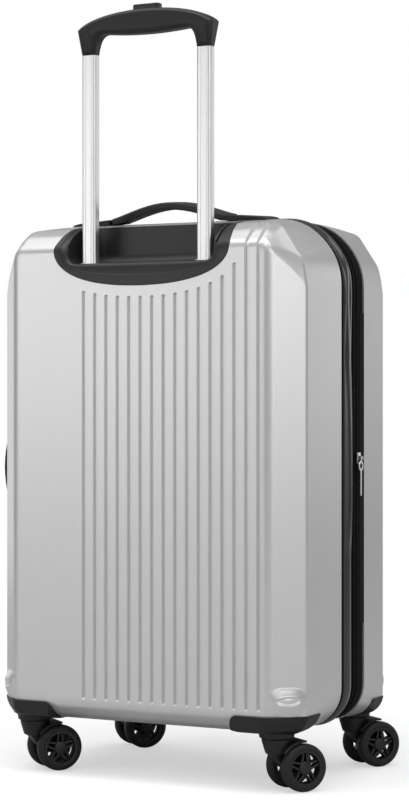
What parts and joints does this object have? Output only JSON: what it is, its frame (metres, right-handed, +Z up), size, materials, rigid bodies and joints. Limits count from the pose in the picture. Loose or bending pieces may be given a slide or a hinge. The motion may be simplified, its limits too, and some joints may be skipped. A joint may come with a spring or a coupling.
{
  "type": "cabin suitcase",
  "caption": "Hard-shell upright cabin suitcase with a ribbed silver back, a black zipped band, a telescopic trolley handle, carry handles and twin-wheel swivel casters.",
  "frame": {"origin": "under the middle of the whole object, on the floor that the wheels stand on", "axes": "+Z up, +Y out of the back panel that the trolley handle stands behind, +X across the case, to the left when the back panel is looked at"},
  "size_m": [0.3848, 0.2558, 0.7768],
  "materials": {
    "shell_silver": "satin silver polycarbonate with a fine brushed look",
    "black_plastic": "moulded, lightly textured, semi-matt",
    "soft_black": "soft-touch, low sheen",
    "coated_band": "smooth coated band with a soft gloss",
    "black_fabric": "tightly woven tape",
    "tube_aluminium": "anodised, satin, with long flutes",
    "zip_metal": "plated, softly polished",
    "axle_steel": "plain turned",
    "tyre_black": "smooth solid tread",
    "lining_fabric": "plain woven lining"
  },
  "bodies": {
    "rear": {"rear_shell": "shell_silver", "handle_bezel": "black_plastic", "wheel_housing_rear_left": "black_plastic", "wheel_housing_rear_right": "black_plastic", "rear_piping": "black_fabric", "side_band": "coated_band", "expansion_zip_rear": "black_fabric", "outer_tube_left": "tube_aluminium", "outer_tube_right": "tube_aluminium", "tube_foot_bracket": "black_plastic", "top_handle_foot_left": "black_plastic", "top_handle_foot_right": "black_plastic", "side_handle_foot_upper": "black_plastic", "side_handle_foot_lower": "black_plastic", "rear_lining": "lining_fabric", "packing_strap": "black_fabric", "strap_buckle": "black_plastic"},
    "zip_frame": {"expansion_zip_front": "black_fabric", "expansion_gusset": "black_fabric", "hinge_strip": "black_fabric"},
    "front": {"front_shell": "shell_silver", "main_zip_tape": "black_fabric", "wheel_housing_front_left": "black_plastic", "wheel_housing_front_right": "black_plastic"},
    "mid_stage": {"mid_tube_left": "tube_aluminium", "mid_tube_right": "tube_aluminium"},
    "grip_stage": {"inner_tube_left": "tube_aluminium", "inner_tube_right": "tube_aluminium", "grip": "soft_black"},
    "grip_button": {"grip_button": "black_plastic"},
    "top_carry": {"top_handle": "soft_black"},
    "side_carry": {"side_handle": "soft_black"},
    "expansion_slider": {"expansion_zip_slider": "zip_metal"},
    "expansion_pull": {"expansion_zip_pull": "zip_metal"},
    "main_slider": {"main_zip_slider": "zip_metal"},
    "main_pull": {"main_zip_pull": "zip_metal"},
    "swivel_rear_left": {"caster_fork_rear_left": "black_plastic", "axle_rear_left": "axle_steel"},
    "wheel_rear_left_a": {"tyre_rear_left_a": "tyre_black", "rim_rear_left_a": "black_plastic"},
    "wheel_rear_left_b": {"tyre_rear_left_b": "tyre_black", "rim_rear_left_b": "black_plastic"},
    "swivel_rear_right": {"caster_fork_rear_right": "black_plastic", "axle_rear_right": "axle_steel"},
    "wheel_rear_right_a": {"tyre_rear_right_a": "tyre_black", "rim_rear_right_a": "black_plastic"},
    "wheel_rear_right_b": {"tyre_rear_right_b": "tyre_black", "rim_rear_right_b": "black_plastic"},
    "swivel_front_left": {"caster_fork_front_left": "black_plastic", "axle_front_left": "axle_steel"},
    "wheel_front_left_a": {"tyre_front_left_a": "tyre_black", "rim_front_left_a": "black_plastic"},
    "wheel_front_left_b": {"tyre_front_left_b": "tyre_black", "rim_front_left_b": "black_plastic"},
    "swivel_front_right": {"caster_fork_front_right": "black_plastic", "axle_front_right": "axle_steel"},
    "wheel_front_right_a": {"tyre_front_right_a": "tyre_black", "rim_front_right_a": "black_plastic"},
    "wheel_front_right_b": {"tyre_front_right_b": "tyre_black", "rim_front_right_b": "black_plastic"}
  },
  "joints": [
    {"name": "expansion", "type": "slide", "parent": "rear", "child": "zip_frame", "axis": [0, -1, 0], "range_m": [0, 0.025], "deforming": ["expansion_gusset"]},
    {"name": "shell_hinge", "type": "hinge", "parent": "zip_frame", "child": "front", "pos_m": [-0.19549, -0.01549, 0.31], "axis": [0, 0, -1], "range_deg": [0, 180], "deforming": ["hinge_strip"]},
    {"name": "mid_stage_slide", "type": "slide", "parent": "rear", "child": "mid_stage", "axis": [0, 0, 1], "range_m": [0, 0.2]},
    {"name": "grip_stage_slide", "type": "slide", "parent": "mid_stage", "child": "grip_stage", "axis": [0, 0, 1], "range_m": [-0.205, 0]},
    {"name": "button_press", "type": "slide", "parent": "grip_stage", "child": "grip_button", "axis": [0, 0, -1], "range_m": [0, 0.003], "stiffness_N_per_m": 500, "springref_m": -0.002},
    {"name": "top_handle_play", "type": "slide", "parent": "rear", "child": "top_carry", "axis": [0, 0.0842, 0.9964], "range_m": [0, 0.001]},
    {"name": "side_handle_play", "type": "slide", "parent": "rear", "child": "side_carry", "axis": [0.9964, 0.0842, 0], "range_m": [0, 0.001]},
    {"name": "expansion_slider_run", "type": "slide", "parent": "rear", "child": "expansion_slider", "axis": [0, 0, 1], "range_m": [-0.21, 0.165]},
    {"name": "expansion_pull_swing", "type": "hinge", "parent": "expansion_slider", "child": "expansion_pull", "pos_m": [-0.19059, -0.00409, 0.3228], "axis": [0, 1, 0], "range_deg": [0, 170]},
    {"name": "main_slider_run", "type": "slide", "parent": "zip_frame", "child": "main_slider", "axis": [0, 0, 1], "range_m": [-0.277, 0.105]},
    {"name": "main_pull_swing", "type": "hinge", "parent": "main_slider", "child": "main_pull", "pos_m": [0.17561, -0.00999, 0.3858], "axis": [0, -1, 0], "range_deg": [0, 170]},
    {"name": "swivel_rear_left", "type": "hinge", "parent": "rear", "child": "swivel_rear_left", "pos_m": [-0.14699, 0.09711, 0.0523], "axis": [0, 0, 1], "continuous": true},
    {"name": "roll_rear_left_a", "type": "hinge", "parent": "swivel_rear_left", "child": "wheel_rear_left_a", "pos_m": [-0.14691, 0.07085, 0.0236], "axis": [0.809, -0.5878, 0], "continuous": true},
    {"name": "roll_rear_left_b", "type": "hinge", "parent": "swivel_rear_left", "child": "wheel_rear_left_b", "pos_m": [-0.17199, 0.08907, 0.0236], "axis": [0.809, -0.5878, 0], "continuous": true},
    {"name": "swivel_rear_right", "type": "hinge", "parent": "rear", "child": "swivel_rear_right", "pos_m": [0.13201, 0.09711, 0.0523], "axis": [0, 0, 1], "continuous": true},
    {"name": "roll_rear_right_a", "type": "hinge", "parent": "swivel_rear_right", "child": "wheel_rear_right_a", "pos_m": [0.13094, 0.07087, 0.0236], "axis": [0.7826, -0.6225, 0], "continuous": true},
    {"name": "roll_rear_right_b", "type": "hinge", "parent": "swivel_rear_right", "child": "wheel_rear_right_b", "pos_m": [0.10668, 0.09017, 0.0236], "axis": [0.7826, -0.6225, 0], "continuous": true},
    {"name": "swivel_front_left", "type": "hinge", "parent": "front", "child": "swivel_front_left", "pos_m": [-0.14699, -0.08009, 0.0523], "axis": [0, 0, 1], "continuous": true},
    {"name": "roll_front_left_a", "type": "hinge", "parent": "swivel_front_left", "child": "wheel_front_left_a", "pos_m": [-0.14691, -0.10635, 0.0236], "axis": [0.809, -0.5878, 0], "continuous": true},
    {"name": "roll_front_left_b", "type": "hinge", "parent": "swivel_front_left", "child": "wheel_front_left_b", "pos_m": [-0.17199, -0.08813, 0.0236], "axis": [0.809, -0.5878, 0], "continuous": true},
    {"name": "swivel_front_right", "type": "hinge", "parent": "front", "child": "swivel_front_right", "pos_m": [0.13201, -0.08009, 0.0523], "axis": [0, 0, 1], "continuous": true},
    {"name": "roll_front_right_a", "type": "hinge", "parent": "swivel_front_right", "child": "wheel_front_right_a", "pos_m": [0.13026, -0.10629, 0.0236], "axis": [0.766, -0.6428, 0], "continuous": true},
    {"name": "roll_front_right_b", "type": "hinge", "parent": "swivel_front_right", "child": "wheel_front_right_b", "pos_m": [0.10651, -0.08636, 0.0236], "axis": [0.766, -0.6428, 0], "continuous": true}
  ]
}
